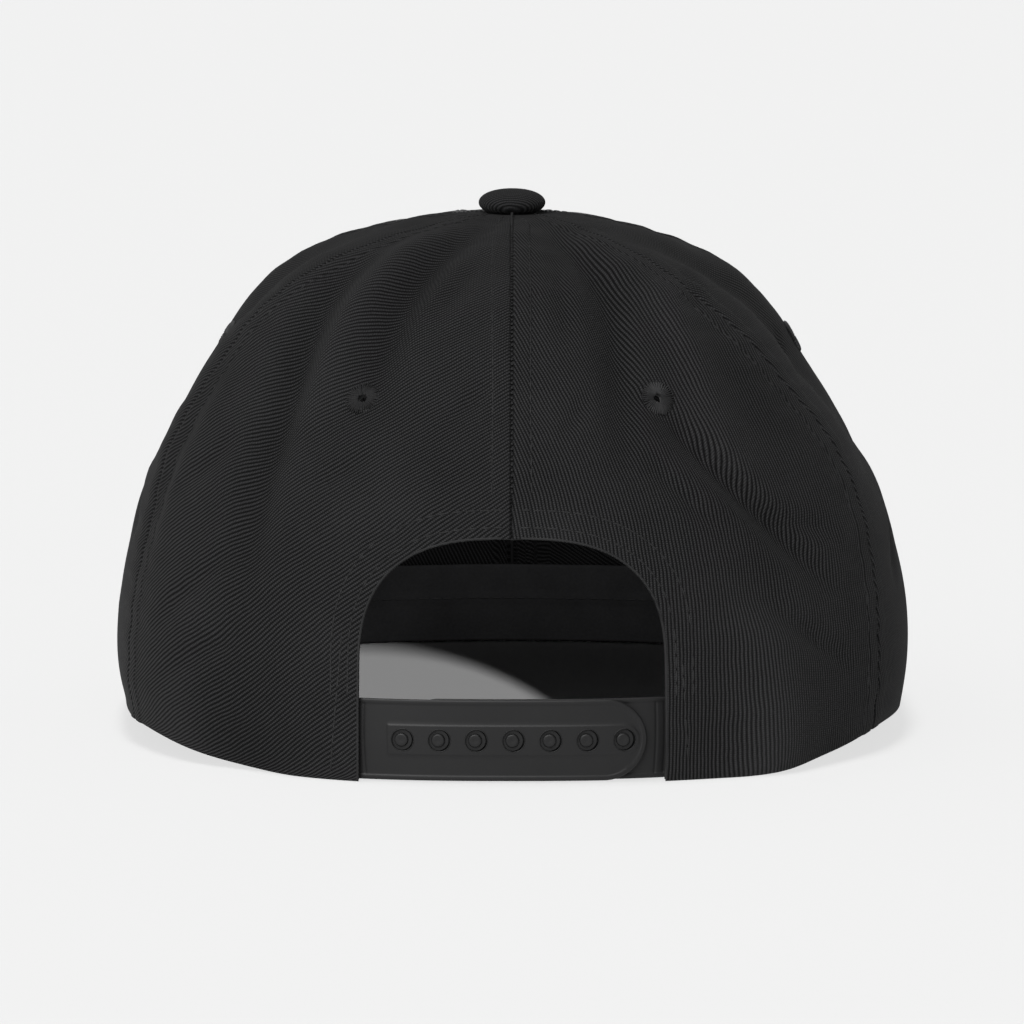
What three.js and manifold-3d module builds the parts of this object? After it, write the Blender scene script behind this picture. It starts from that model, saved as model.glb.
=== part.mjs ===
import * as THREE from 'three';
import { mergeVertices } from 'three/addons/utils/BufferGeometryUtils.js';
import Module from 'manifold-3d';

// Six-panel snapback cap, standing on a level surface, closed at its back by a plastic snap strap.
// Millimetres, +Z up. The back faces -Y, the brim points to +Y, and the middle of the whole is the origin.
// The shape is worked out about the crown's own middle, and the last group moves it to the whole's middle.
// Angles are in degrees round the crown: 0 is the centre back, 90 the right side and 180 the centre front.

// Crown
const crownHeight = 119.2;
const crownWidth = 188;
const backReach = 98;
const frontReach = 104;
const fabricThickness = 1.6;
const frontThickness = 2.2;
const seamGap = 0.3;
const fitGap = 0.3;
const frontSeamAngle = 118;
const restAngle = 30;
const standAngle = 62;
const sideArch = 1.2;
const sideArchAngle = 72;
const sideArchSpreadAngle = 18;

// Brim
const brimProjection = 68;
const brimInset = 2.5;
const brimThickness = 3.6;
const brimArch = 2;
const brimStart = 26;
const brimNose = 0.3;
const brimPower = 2.3;

// Arched opening over the strap
const archWidth = 68.8;
const archHeight = 54.8;
const archSpring = 24;
const archPower = 2.7;

// Snap strap
const strapHeight = 18.4;
const strapThickness = 1.2;
const strapLift = 0.3;
const strapTuck = 9;
const strapTip = 30.2;
const innerStrapEnd = 25.5;
const strapTipShare = 0.25;
const snapCount = 7;
const snapPitch = 8.25;
const firstSnap = -24.4;
const snapHoleDiameter = 4.4;
const pegDiameter = 2.8;
const pegHeight = 0.4;

// Sweatband
const sweatbandHeight = 24;
const sweatbandThickness = 1.2;
const sweatbandEase = 26;

// Button: seat and waist are shares of its radius, and waistRise and brow are shares of its height
const buttonDiameter = 15.8;
const buttonHeight = 5.4;
const buttonHole = 4;
const buttonSeat = 0.8;
const buttonWaist = 0.96;
const buttonWaistRise = 0.16;
const buttonBrow = 0.4;
const buttonRoundPower = 0.8;

// Eyelets
const eyeletDiameter = 7.4;
const eyeletHole = 2.4;
const eyeletStand = 0.4;
const eyeletRounding = 0.6;
const cutLength = 12;

// Crown sections from the rim to the button. height is a share of the crown's height. left and right are
// shares of half its width, and back and front are shares of its reaches. square is how full the oval is
// at its quarters, 2 for a true oval, and corner is how far the seams beside the side panels stand out.
// leftSeam and rightSeam are the angles of the seams between the rear and the side panels.
const sectionColumns = [
  'height', 'left', 'right', 'back', 'front', 'square', 'corner', 'leftSeam', 'rightSeam',
];
const sectionRows = [
  [0.000, 0.976, 0.980, 1.000, 1.000, 2.50, 0.000, 65, 58],
  [0.090, 0.996, 0.998, 1.002, 1.000, 2.46, 0.002, 65, 58],
  [0.200, 0.988, 0.992, 1.000, 0.998, 2.38, 0.006, 65.5, 59],
  [0.310, 0.966, 0.968, 0.990, 0.992, 2.28, 0.012, 66.5, 60.5],
  [0.415, 0.930, 0.930, 0.972, 0.980, 2.20, 0.020, 67.5, 62],
  [0.515, 0.880, 0.866, 0.940, 0.960, 2.15, 0.032, 69, 63],
  [0.610, 0.818, 0.798, 0.893, 0.926, 2.10, 0.044, 69, 61.5],
  [0.703, 0.744, 0.720, 0.828, 0.872, 2.06, 0.052, 68, 58],
  [0.795, 0.674, 0.648, 0.738, 0.786, 2.03, 0.050, 65, 53],
  [0.877, 0.576, 0.544, 0.618, 0.660, 2.00, 0.038, 61, 49],
  [0.938, 0.430, 0.384, 0.458, 0.476, 2.00, 0.022, 59, 48],
  [0.977, 0.246, 0.218, 0.274, 0.270, 2.00, 0.010, 58, 49],
  [0.996, 0.096, 0.086, 0.110, 0.108, 2.00, 0.000, 59, 52],
  [1.000, 0.000, 0.000, 0.000, 0.000, 2.00, 0.000, 60, 55],
];
const cornerSpreadAngle = 15;

// Folds that the soft rear and side panels hold. Each runs from one angle and rise to another. width is
// half its breadth and depth is how far it sinks, both as shares of the crown's width. A negative depth
// is a ridge.
const folds = [
  { lowAngle: -40, lowRise: 0.22, highAngle: -49, highRise: 0.78, width: 0.040, depth: 0.017 },
  { lowAngle: -27, lowRise: 0.50, highAngle: -24, highRise: 0.94, width: 0.036, depth: 0.015 },
  { lowAngle: -37, lowRise: 0.48, highAngle: -38, highRise: 0.92, width: 0.036, depth: -0.011 },
  { lowAngle: -66, lowRise: 0.20, highAngle: -66, highRise: 0.62, width: 0.030, depth: 0.008 },
  { lowAngle: -86, lowRise: 0.36, highAngle: -88, highRise: 0.82, width: 0.062, depth: 0.016 },
  { lowAngle: 19, lowRise: 0.42, highAngle: 27, highRise: 0.90, width: 0.036, depth: 0.012 },
  { lowAngle: 50, lowRise: 0.22, highAngle: 26, highRise: 0.56, width: 0.032, depth: 0.013 },
  { lowAngle: 40, lowRise: 0.40, highAngle: 38, highRise: 0.86, width: 0.038, depth: -0.008 },
  { lowAngle: 82, lowRise: 0.40, highAngle: 72, highRise: 0.86, width: 0.060, depth: 0.016 },
  { lowAngle: 36, lowRise: -0.20, highAngle: 38, highRise: 0.24, width: 0.070, depth: -0.014 },
  { lowAngle: -38, lowRise: -0.20, highAngle: -38, highRise: 0.26, width: 0.090, depth: 0.014 },
];

// How much cloth stands up beside a fold, and how quickly a fold fades out at its ends.
const foldShoulder = 0.6;
const foldFadePower = 0.8;

// Eyelets, one in the middle of each panel. rise is a share of the way from the rim to the button.
const eyelets = [
  { name: 'eyelet_rear_left', panel: 'panel_rear_left', angle: -28.5, rise: 0.54 },
  { name: 'eyelet_rear_right', panel: 'panel_rear_right', angle: 28.5, rise: 0.54 },
  { name: 'eyelet_side_left', panel: 'panel_side_left', angle: -95, rise: 0.57 },
  { name: 'eyelet_side_right', panel: 'panel_side_right', angle: 92, rise: 0.57 },
  { name: 'eyelet_front_left', panel: 'panel_front_left', angle: -150, rise: 0.58 },
  { name: 'eyelet_front_right', panel: 'panel_front_right', angle: 150, rise: 0.58 },
];

// Fineness of the faceted surfaces
const panelColumns = 12;
const panelRows = 18;
const brimColumns = 30;
const brimRows = 5;
const sweatbandColumns = 56;
const sweatbandRows = 2;
const strapColumns = 30;
const strapRows = 3;
const holeSides = 12;
const archSteps = 20;
const buttonSides = 24;
const buttonDomeSteps = 6;
const slopeShare = 0.002;
const halvings = 24;
const mergeDistance = 1e-4;

const wasm = await Module();
wasm.setup();

const halfWidth = crownWidth / 2;
const brimWidth = crownWidth - 2 * brimInset;
const brimAngle = 90 + THREE.MathUtils.radToDeg(Math.asin(brimStart / frontReach));

const twill = new THREE.MeshStandardMaterial({ color: 0x2c2c2d, roughness: 0.92, metalness: 0 });
const bandCloth = new THREE.MeshStandardMaterial({ color: 0x1d1d1e, roughness: 0.95, metalness: 0 });
const thread = new THREE.MeshStandardMaterial({ color: 0x262627, roughness: 0.8, metalness: 0 });
const plastic = new THREE.MeshStandardMaterial({ color: 0x323233, roughness: 0.55, metalness: 0 });

// Smooth curve through a column of a table, at a share of the way along its rows.
function smoothColumn(table, column, share) {
  const last = table.length - 1;
  const place = THREE.MathUtils.clamp(share, 0, 1) * last;
  const index = Math.min(Math.floor(place), last - 1);
  const part = place - index;
  const before = table[Math.max(index - 1, 0)][column];
  const start = table[index][column];
  const end = table[index + 1][column];
  const after = table[Math.min(index + 2, last)][column];
  const startSlope = (end - before) / 2;
  const endSlope = (after - start) / 2;
  const square = part * part;
  const cube = square * part;
  return start * (2 * cube - 3 * square + 1) + startSlope * (cube - 2 * square + part)
    + end * (3 * square - 2 * cube) + endSlope * (cube - square);
}

function sectionAt(rise) {
  const section = {};
  for (const [index, column] of sectionColumns.entries()) {
    section[column] = smoothColumn(sectionRows, index, rise);
  }
  return section;
}

// Top of the brim where its cloth meets the crown, higher in the middle than at its sides.
function brimTop(x) {
  const share = x / (brimWidth / 2);
  return brimArch * (1 - share * share) + brimThickness;
}

// Height of the rim above the surface: it rests at the back, stands on the brim at the front, and arches
// up a little at the sides, over the ears.
function rimLift(angle) {
  const off = Math.abs(angle);
  const turn = THREE.MathUtils.degToRad(Math.max(off, standAngle));
  const x = Math.min(halfWidth * Math.sin(turn), brimWidth / 2);
  const away = (off - sideArchAngle) / sideArchSpreadAngle;
  const stand = THREE.MathUtils.smoothstep(off, restAngle, standAngle) * (brimTop(x) + fitGap);
  return stand + sideArch * Math.exp(-away * away);
}

// How much a seam's corner stands out at an angle: 1 on the rear seams, falling away beside them.
function cornerShare(angle, section) {
  const seam = angle < 0 ? -section.leftSeam : section.rightSeam;
  const rear = (angle - seam) / cornerSpreadAngle;
  const front = (Math.abs(angle) - frontSeamAngle) / cornerSpreadAngle;
  return Math.exp(-rear * rear) + Math.exp(-front * front);
}

// Outer face of the crown with no folds.
function plainPoint(angle, rise) {
  const section = sectionAt(rise);
  const turn = THREE.MathUtils.degToRad(angle);
  const across = Math.sin(turn);
  const along = -Math.cos(turn);
  const reach = along < 0 ? backReach : frontReach;
  const share = along < 0 ? section.back : section.front;
  const side = across < 0 ? section.left : section.right;
  const power = section.square;
  const full = (Math.abs(across) ** power + Math.abs(along) ** power) ** (-1 / power);
  const spread = full * (1 + section.corner * cornerShare(angle, section));
  const lift = rimLift(angle);
  return new THREE.Vector3(
    across * spread * (buttonHole + (halfWidth - buttonHole) * side),
    along * spread * (buttonHole + (reach - buttonHole) * share),
    lift + (crownHeight - lift) * section.height,
  );
}

function plainNormal(angle, rise) {
  const low = Math.max(rise - slopeShare, 0);
  const high = Math.min(rise + slopeShare, 1);
  const round = plainPoint(angle + 1, rise).sub(plainPoint(angle - 1, rise));
  const up = plainPoint(angle, high).sub(plainPoint(angle, low));
  return round.cross(up).normalize();
}

// How far the folds sink the cloth at one place, with low shoulders beside each valley.
function foldDepth(angle, rise) {
  const radius = Math.hypot(plainPoint(angle, rise).x, plainPoint(angle, rise).y);
  let depth = 0;
  for (const fold of folds) {
    const along = (rise - fold.lowRise) / (fold.highRise - fold.lowRise);
    if (along <= 0 || along >= 1) {
      continue;
    }
    const middle = fold.lowAngle + (fold.highAngle - fold.lowAngle) * along;
    const off = THREE.MathUtils.degToRad(angle - middle) * radius / (fold.width * crownWidth);
    const valley = (1 - foldShoulder * off * off) * Math.exp(-off * off);
    depth += fold.depth * crownWidth * valley * Math.sin(Math.PI * along) ** foldFadePower;
  }
  return depth;
}

function crownPoint(angle, rise, inset = 0) {
  const normal = plainNormal(angle, rise);
  const point = plainPoint(angle, rise);
  const height = point.z;
  point.addScaledVector(normal, -inset - foldDepth(angle, rise));
  if (rise === 0) {
    point.z = height;
  }
  return point;
}

// Rise of the crown's wall at a height above the surface.
function riseAt(angle, height) {
  let low = 0;
  let high = 1;
  for (let step = 0; step < halvings; step += 1) {
    const middle = (low + high) / 2;
    if (plainPoint(angle, middle).z < height) {
      low = middle;
    } else {
      high = middle;
    }
  }
  return (low + high) / 2;
}

// A place at a height, set in from the crown's outer face, for what lies along its wall.
function wallPoint(angle, height, inset) {
  const rise = riseAt(angle, height);
  const point = plainPoint(angle, rise);
  const normal = plainNormal(angle, rise);
  normal.z = 0;
  normal.normalize();
  point.addScaledVector(normal, -inset - foldDepth(angle, rise));
  point.z = height;
  return point;
}

// Angle at which the back wall's foot is a distance across from the middle.
function angleAcross(x) {
  let low = -90;
  let high = 90;
  for (let step = 0; step < halvings; step += 1) {
    const middle = (low + high) / 2;
    if (plainPoint(middle, 0).x < x) {
      low = middle;
    } else {
      high = middle;
    }
  }
  return (low + high) / 2;
}

// Closed wall from two matching grids of points. Columns run to the right and rows upwards when the
// outer grid is seen from outside.
function wallGeometry(columns, rows, outerPoint, innerPoint) {
  const positions = [];
  const faces = [];
  const stride = rows + 1;
  const innerStart = (columns + 1) * stride;
  for (const point of [outerPoint, innerPoint]) {
    for (let column = 0; column <= columns; column += 1) {
      for (let row = 0; row <= rows; row += 1) {
        positions.push(...point(column / columns, row / rows).toArray());
      }
    }
  }
  const outer = (column, row) => column * stride + row;
  const inner = (column, row) => innerStart + outer(column, row);
  const quad = (a, b, c, d) => faces.push(a, b, c, a, c, d);
  for (let column = 0; column < columns; column += 1) {
    for (let row = 0; row < rows; row += 1) {
      quad(outer(column, row), outer(column + 1, row), outer(column + 1, row + 1), outer(column, row + 1));
      quad(inner(column, row), inner(column, row + 1), inner(column + 1, row + 1), inner(column + 1, row));
    }
    quad(outer(column + 1, 0), outer(column, 0), inner(column, 0), inner(column + 1, 0));
    quad(outer(column, rows), outer(column + 1, rows), inner(column + 1, rows), inner(column, rows));
  }
  for (let row = 0; row < rows; row += 1) {
    quad(outer(0, row), outer(0, row + 1), inner(0, row + 1), inner(0, row));
    quad(outer(columns, row + 1), outer(columns, row), inner(columns, row), inner(columns, row + 1));
  }
  const geometry = new THREE.BufferGeometry();
  geometry.setAttribute('position', new THREE.Float32BufferAttribute(positions, 3));
  geometry.setIndex(faces);
  return geometry;
}

function solidFrom(geometry) {
  const bare = geometry.clone();
  bare.deleteAttribute('normal');
  bare.deleteAttribute('uv');
  const merged = mergeVertices(bare, mergeDistance);
  return new wasm.Manifold(new wasm.Mesh({
    numProp: 3,
    vertProperties: Float32Array.from(merged.attributes.position.array),
    triVerts: Uint32Array.from(merged.index.array),
  }));
}

function geometryFrom(solid) {
  const mesh = solid.getMesh();
  const geometry = new THREE.BufferGeometry();
  geometry.setAttribute('position', new THREE.Float32BufferAttribute(mesh.vertProperties, 3));
  geometry.setIndex(Array.from(mesh.triVerts));
  return geometry;
}

// Round bar through a point along a direction, for eyelet holes, snap holes and pegs.
function barGeometry(centre, direction, radius, length) {
  const bar = new THREE.CylinderGeometry(radius, radius, length, holeSides);
  const turn = new THREE.Quaternion().setFromUnitVectors(new THREE.Vector3(0, 1, 0), direction);
  bar.applyQuaternion(turn);
  bar.translate(centre.x, centre.y, centre.z);
  return bar;
}

// Arched opening: straight legs up to its spring, and a squarish half oval over them.
function archGeometry() {
  const outline = new THREE.Shape();
  const half = archWidth / 2;
  outline.moveTo(-half, -crownHeight);
  outline.lineTo(-half, archSpring);
  for (let step = 1; step <= archSteps; step += 1) {
    const turn = Math.PI * (1 - step / archSteps);
    const across = Math.sign(Math.cos(turn)) * Math.abs(Math.cos(turn)) ** (2 / archPower);
    const up = Math.abs(Math.sin(turn)) ** (2 / archPower);
    outline.lineTo(half * across, archSpring + (archHeight - archSpring) * up);
  }
  outline.lineTo(half, -crownHeight);
  const cut = new THREE.ExtrudeGeometry(outline, { depth: backReach, bevelEnabled: false });
  cut.rotateX(Math.PI / 2);
  cut.translate(0, -backReach / 2, 0);
  return cut;
}

// Angle at a share of the way across a panel, keeping half the seam gap from each seam.
function panelAngle(edges, share, rise) {
  const section = sectionAt(rise);
  const first = edges.first(section);
  const last = edges.last(section);
  const middle = plainPoint((first + last) / 2, rise);
  const shift = THREE.MathUtils.radToDeg(seamGap / 2 / Math.hypot(middle.x, middle.y));
  return THREE.MathUtils.lerp(first + shift, last - shift, share);
}

function makePanel(name, edges, thickness) {
  const outer = (share, rise) => crownPoint(panelAngle(edges, share, rise), rise);
  const inner = (share, rise) => crownPoint(panelAngle(edges, share, rise), rise, thickness);
  let solid = solidFrom(wallGeometry(panelColumns, panelRows, outer, inner));
  for (const eyelet of eyelets.filter((entry) => entry.panel === name)) {
    const centre = crownPoint(eyelet.angle, eyelet.rise, thickness / 2);
    const normal = plainNormal(eyelet.angle, eyelet.rise);
    const radius = eyeletDiameter / 2 + fitGap;
    solid = solid.subtract(solidFrom(barGeometry(centre, normal, radius, cutLength)));
  }
  if (edges.arched) {
    solid = solid.subtract(solidFrom(archGeometry()));
  }
  const mesh = new THREE.Mesh(geometryFrom(solid), twill);
  mesh.name = name;
  return mesh;
}

// Stitched ring round an air hole, set in its panel and a little proud of both faces.
function makeEyelet(eyelet, thickness) {
  const outer = eyeletDiameter / 2;
  const inner = eyeletHole / 2;
  const half = thickness / 2 + eyeletStand;
  const outline = [
    new THREE.Vector2(inner, -half + eyeletRounding),
    new THREE.Vector2((inner + outer) / 2, -half),
    new THREE.Vector2(outer, -half + eyeletStand),
    new THREE.Vector2(outer, half - eyeletStand),
    new THREE.Vector2((inner + outer) / 2, half),
    new THREE.Vector2(inner, half - eyeletRounding),
    new THREE.Vector2(inner, -half + eyeletRounding),
  ];
  const ring = new THREE.LatheGeometry(outline, holeSides);
  const mesh = new THREE.Mesh(ring, thread);
  mesh.name = eyelet.name;
  mesh.position.copy(crownPoint(eyelet.angle, eyelet.rise, thickness / 2));
  const normal = plainNormal(eyelet.angle, eyelet.rise);
  mesh.quaternion.setFromUnitVectors(new THREE.Vector3(0, 1, 0), normal);
  return mesh;
}

// Cloth-covered dome on the crown's top, with a shank in the hole where the panels meet.
function makeButton() {
  const shank = buttonHole - fitGap;
  const radius = buttonDiameter / 2;
  const seat = crownHeight + fitGap;
  const outline = [
    new THREE.Vector2(0, crownHeight - frontThickness),
    new THREE.Vector2(shank, crownHeight - frontThickness),
    new THREE.Vector2(shank, seat),
    new THREE.Vector2(radius * buttonSeat, seat),
    new THREE.Vector2(radius * buttonWaist, seat + buttonHeight * buttonWaistRise),
  ];
  for (let step = 0; step <= buttonDomeSteps; step += 1) {
    const turn = (Math.PI / 2) * (step / buttonDomeSteps);
    const across = Math.cos(turn) ** buttonRoundPower;
    const up = THREE.MathUtils.lerp(buttonBrow, 1, Math.sin(turn));
    outline.push(new THREE.Vector2(radius * across, seat + buttonHeight * up));
  }
  outline[outline.length - 1].x = 0;
  const dome = new THREE.LatheGeometry(outline, buttonSides);
  dome.rotateX(Math.PI / 2);
  const mesh = new THREE.Mesh(dome, twill);
  mesh.name = 'top_button';
  return mesh;
}

// Nearly flat brim: its inner edge lies under the crown's front, and its outer edge is a squarish oval.
function makeBrim() {
  const place = (share, out) => {
    const side = 2 * share - 1;
    const inner = wallPoint(180 - side * (180 - brimAngle), brimTop(0) + fitGap, frontThickness);
    const turn = side * Math.PI / 2;
    const across = Math.sign(side) * Math.abs(Math.sin(turn)) ** (2 / brimPower);
    const along = Math.abs(Math.cos(turn)) ** (2 / brimPower);
    const x = THREE.MathUtils.lerp(inner.x, across * brimWidth / 2, out);
    const outerY = brimStart + along * (frontReach + brimProjection - brimStart);
    const y = THREE.MathUtils.lerp(inner.y, outerY, out);
    return { x, y, nose: out === 1 ? brimNose : 0 };
  };
  const top = (share, out) => {
    const { x, y, nose } = place(share, out);
    return new THREE.Vector3(x, y, brimTop(x) - nose * brimThickness);
  };
  const under = (share, out) => {
    const { x, y, nose } = place(share, out);
    return new THREE.Vector3(x, y, brimTop(x) - (1 - nose) * brimThickness);
  };
  const mesh = new THREE.Mesh(wallGeometry(brimColumns, brimRows, top, under), twill);
  mesh.name = 'brim';
  return mesh;
}

// Band inside the rim, from one leg of the arch round the front to the other. It eases inwards at the
// back, where it covers the tucked ends of the strap.
function makeSweatband() {
  const endAngle = angleAcross(archWidth / 2 + fabricThickness);
  const deepInset = fabricThickness + 2 * strapThickness + 3 * fitGap;
  const point = (share, up, extra) => {
    const angle = THREE.MathUtils.lerp(endAngle, 360 - endAngle, share);
    const signed = angle > 180 ? angle - 360 : angle;
    const coverAngle = angleAcross(archWidth / 2 + strapTuck);
    const away = THREE.MathUtils.smoothstep(Math.abs(signed), coverAngle, coverAngle + sweatbandEase);
    const inset = THREE.MathUtils.lerp(deepInset, frontThickness + fitGap, away);
    const height = rimLift(signed) + fitGap + up * sweatbandHeight;
    return wallPoint(signed, height, inset + extra);
  };
  const outer = (share, up) => point(share, up, 0);
  const inner = (share, up) => point(share, up, sweatbandThickness);
  const mesh = new THREE.Mesh(wallGeometry(sweatbandColumns, sweatbandRows, outer, inner), bandCloth);
  mesh.name = 'sweatband';
  return mesh;
}

// Strap along the back wall from one distance across to another, round at its free end.
function strapSolid(fixedEnd, freeEnd, inset) {
  const half = strapHeight / 2;
  const middle = strapLift + half;
  const place = (share, up, extra) => {
    const across = THREE.MathUtils.lerp(Math.min(fixedEnd, freeEnd), Math.max(fixedEnd, freeEnd), share);
    const left = Math.min(Math.abs(freeEnd - across) / half, 1);
    const round = Math.sqrt(1 - (1 - left) ** 2);
    const open = Math.max(round, strapTipShare);
    const height = middle + half * open * (2 * up - 1);
    return wallPoint(angleAcross(across), height, inset + extra);
  };
  const outer = (share, up) => place(share, up, 0);
  const inner = (share, up) => place(share, up, strapThickness);
  return solidFrom(wallGeometry(strapColumns, strapRows, outer, inner));
}

// Snap positions, as the angle and the direction of each peg.
function snapPlaces(inset) {
  const places = [];
  for (let snap = 0; snap < snapCount; snap += 1) {
    const angle = angleAcross(firstSnap + snap * snapPitch);
    const height = strapLift + strapHeight / 2;
    const centre = wallPoint(angle, height, inset);
    const direction = wallPoint(angle, height, 0).sub(centre).normalize();
    places.push({ centre, direction });
  }
  return places;
}

function makeStraps() {
  const outerInset = fabricThickness + fitGap;
  const innerInset = outerInset + strapThickness + fitGap;
  const tucked = archWidth / 2 + strapTuck;
  let holed = strapSolid(-tucked, strapTip, outerInset);
  for (const place of snapPlaces(outerInset)) {
    const radius = snapHoleDiameter / 2;
    holed = holed.subtract(solidFrom(barGeometry(place.centre, place.direction, radius, cutLength)));
  }
  let pegged = strapSolid(tucked, -innerStrapEnd, innerInset);
  const reach = strapThickness + fitGap + pegHeight;
  for (const place of snapPlaces(innerInset)) {
    const centre = place.centre.clone().addScaledVector(place.direction, (reach - strapThickness / 2) / 2);
    const length = reach + strapThickness / 2;
    pegged = pegged.add(solidFrom(barGeometry(centre, place.direction, pegDiameter / 2, length)));
  }
  const left = new THREE.Mesh(geometryFrom(holed), plastic);
  left.name = 'strap_with_holes';
  const right = new THREE.Mesh(geometryFrom(pegged), plastic);
  right.name = 'strap_with_pegs';
  return [left, right];
}

// The six panels, each between two seams.
const panelEdges = {
  panel_rear_left: { first: (section) => -section.leftSeam, last: () => 0, arched: true },
  panel_rear_right: { first: () => 0, last: (section) => section.rightSeam, arched: true },
  panel_side_left: { first: () => -frontSeamAngle, last: (section) => -section.leftSeam },
  panel_side_right: { first: (section) => section.rightSeam, last: () => frontSeamAngle },
  panel_front_left: { first: () => -180, last: () => -frontSeamAngle },
  panel_front_right: { first: () => frontSeamAngle, last: () => 180 },
};

function panelThickness(name) {
  return name.startsWith('panel_front') ? frontThickness : fabricThickness;
}

const crown = new THREE.Group();
for (const [name, edges] of Object.entries(panelEdges)) {
  crown.add(makePanel(name, edges, panelThickness(name)));
}
for (const eyelet of eyelets) {
  crown.add(makeEyelet(eyelet, panelThickness(eyelet.panel)));
}
crown.add(makeButton());

const closure = new THREE.Group();
closure.add(...makeStraps());

const cap = new THREE.Group();
cap.add(crown, closure, makeSweatband(), makeBrim());
cap.position.y = (backReach - frontReach - brimProjection) / 2;

export default cap;
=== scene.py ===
import math
import random

import bmesh
import bpy
import numpy as np
from mathutils import Matrix, Vector


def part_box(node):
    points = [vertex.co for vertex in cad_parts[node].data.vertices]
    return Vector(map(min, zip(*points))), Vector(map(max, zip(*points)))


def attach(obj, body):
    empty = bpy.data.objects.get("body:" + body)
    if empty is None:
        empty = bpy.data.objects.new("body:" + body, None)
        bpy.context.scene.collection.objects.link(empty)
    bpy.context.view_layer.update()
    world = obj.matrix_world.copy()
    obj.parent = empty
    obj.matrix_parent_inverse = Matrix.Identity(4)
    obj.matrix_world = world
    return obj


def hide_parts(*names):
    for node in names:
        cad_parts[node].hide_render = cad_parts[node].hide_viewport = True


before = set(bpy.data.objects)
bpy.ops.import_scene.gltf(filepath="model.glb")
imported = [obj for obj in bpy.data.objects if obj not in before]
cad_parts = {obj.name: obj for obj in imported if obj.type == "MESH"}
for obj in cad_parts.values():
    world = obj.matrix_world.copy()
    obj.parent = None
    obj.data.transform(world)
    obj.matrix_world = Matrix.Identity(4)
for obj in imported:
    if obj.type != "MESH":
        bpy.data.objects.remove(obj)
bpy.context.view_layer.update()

mm = 0.001
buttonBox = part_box("top_button")
crownCentre = np.array([0.0, (buttonBox[0].y + buttonBox[1].y) / 2, 0.0])  # the crown's own middle
scene = bpy.context.scene

# Seen from behind and a little above, as in the photo
view = {"aim": (0.0, -0.037, 0.0477), "from": (0.0, -1.5224, 0.25645), "lens": 221.5, "sensor": 36.0}
cameraData = bpy.data.cameras.new("camera")
cameraData.lens = view["lens"]
cameraData.sensor_width = view["sensor"]
cameraData.clip_start = 0.05
cameraData.clip_end = 60
camera = bpy.data.objects.new("camera", cameraData)
camera.location = view["from"]
camera.rotation_euler = (Vector(view["aim"]) - Vector(view["from"])).to_track_quat("-Z", "Y").to_euler()
scene.collection.objects.link(camera)
scene.camera = camera


def addNode(tree, kind, inputs=None, **settings):
    node = tree.nodes.new(kind)
    for key, value in settings.items():
        setattr(node, key, value)
    for key, value in (inputs or {}).items():
        if isinstance(value, bpy.types.NodeSocket):
            tree.links.new(value, node.inputs[key])
        else:
            node.inputs[key].default_value = value
    return node


def calc(tree, operation, *values):
    node = addNode(tree, "ShaderNodeMath", dict(enumerate(values)), operation=operation)
    return node.outputs[0]


def newGroup(name, inputs, outputs):
    tree = bpy.data.node_groups.new(name, "ShaderNodeTree")
    for label, kind, value in inputs:
        socket = tree.interface.new_socket(name=label, in_out="INPUT", socket_type="NodeSocket" + kind)
        if value is not None:
            socket.default_value = value
    for label, kind in outputs:
        tree.interface.new_socket(name=label, in_out="OUTPUT", socket_type="NodeSocket" + kind)
    return tree, tree.nodes.new("NodeGroupInput").outputs, tree.nodes.new("NodeGroupOutput").inputs


def makeTwillWeave():  # ribs along the first coordinate, each made of short slanting yarns; Shade paints shade between the ribs
    tree, given, result = newGroup(
        "twillWeave",
        [("Vector", "Vector", None), ("Pitch", "Float", 0.0011), ("Wander", "Float", 0.003)],
        [("Height", "Float"), ("Shade", "Float")],
    )
    slow = addNode(tree, "ShaderNodeTexNoise", {"Vector": given["Vector"], "Scale": 42.0, "Detail": 3.0})
    cloud = addNode(tree, "ShaderNodeTexNoise", {"Vector": given["Vector"], "Scale": 38.0, "Detail": 4.0})
    fuzz = addNode(tree, "ShaderNodeTexNoise", {"Vector": given["Vector"], "Scale": 2900.0, "Detail": 3.0})
    place = addNode(tree, "ShaderNodeSeparateXYZ", {"Vector": given["Vector"]}).outputs
    drift = calc(tree, "MULTIPLY", calc(tree, "SUBTRACT", slow.outputs[0], 0.5), given["Wander"])
    phase = calc(tree, "DIVIDE", calc(tree, "ADD", place["Y"], drift), given["Pitch"])
    wave = calc(tree, "COSINE", calc(tree, "MULTIPLY", phase, 2 * math.pi))
    rib = calc(tree, "POWER", calc(tree, "MULTIPLY_ADD", wave, 0.5, 0.5), 1.1)
    step = calc(tree, "MULTIPLY", calc(tree, "ROUND", phase), 0.43)
    slant = calc(tree, "MULTIPLY_ADD", phase, 0.35, step)
    yarnPitch = calc(tree, "MULTIPLY", given["Pitch"], 0.58)
    uneven = calc(tree, "MULTIPLY_ADD", fuzz.outputs[0], 0.8, slant)
    yarnPhase = calc(tree, "ADD", calc(tree, "DIVIDE", place["X"], yarnPitch), uneven)
    yarnWave = calc(tree, "COSINE", calc(tree, "MULTIPLY", yarnPhase, 2 * math.pi))
    yarn = calc(tree, "MULTIPLY_ADD", yarnWave, 0.3, 0.66)
    height = calc(tree, "MULTIPLY", rib, yarn)
    tree.links.new(calc(tree, "MULTIPLY_ADD", fuzz.outputs[0], 0.35, height), result["Height"])
    # Shade paints the rib height into the colour: painted shade in the gaps between ribs and lighter rib tops, plus
    # random tone from the fuzz and the clouds
    paintedRibShadeAndFuzz = calc(tree, "MULTIPLY_ADD", height, 0.75, calc(tree, "MULTIPLY", fuzz.outputs[0], 0.42))
    clouded = calc(tree, "MULTIPLY_ADD", calc(tree, "SUBTRACT", cloud.outputs[0], 0.5), 0.2, paintedRibShadeAndFuzz)
    tree.links.new(clouded, result["Shade"])
    return tree


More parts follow.
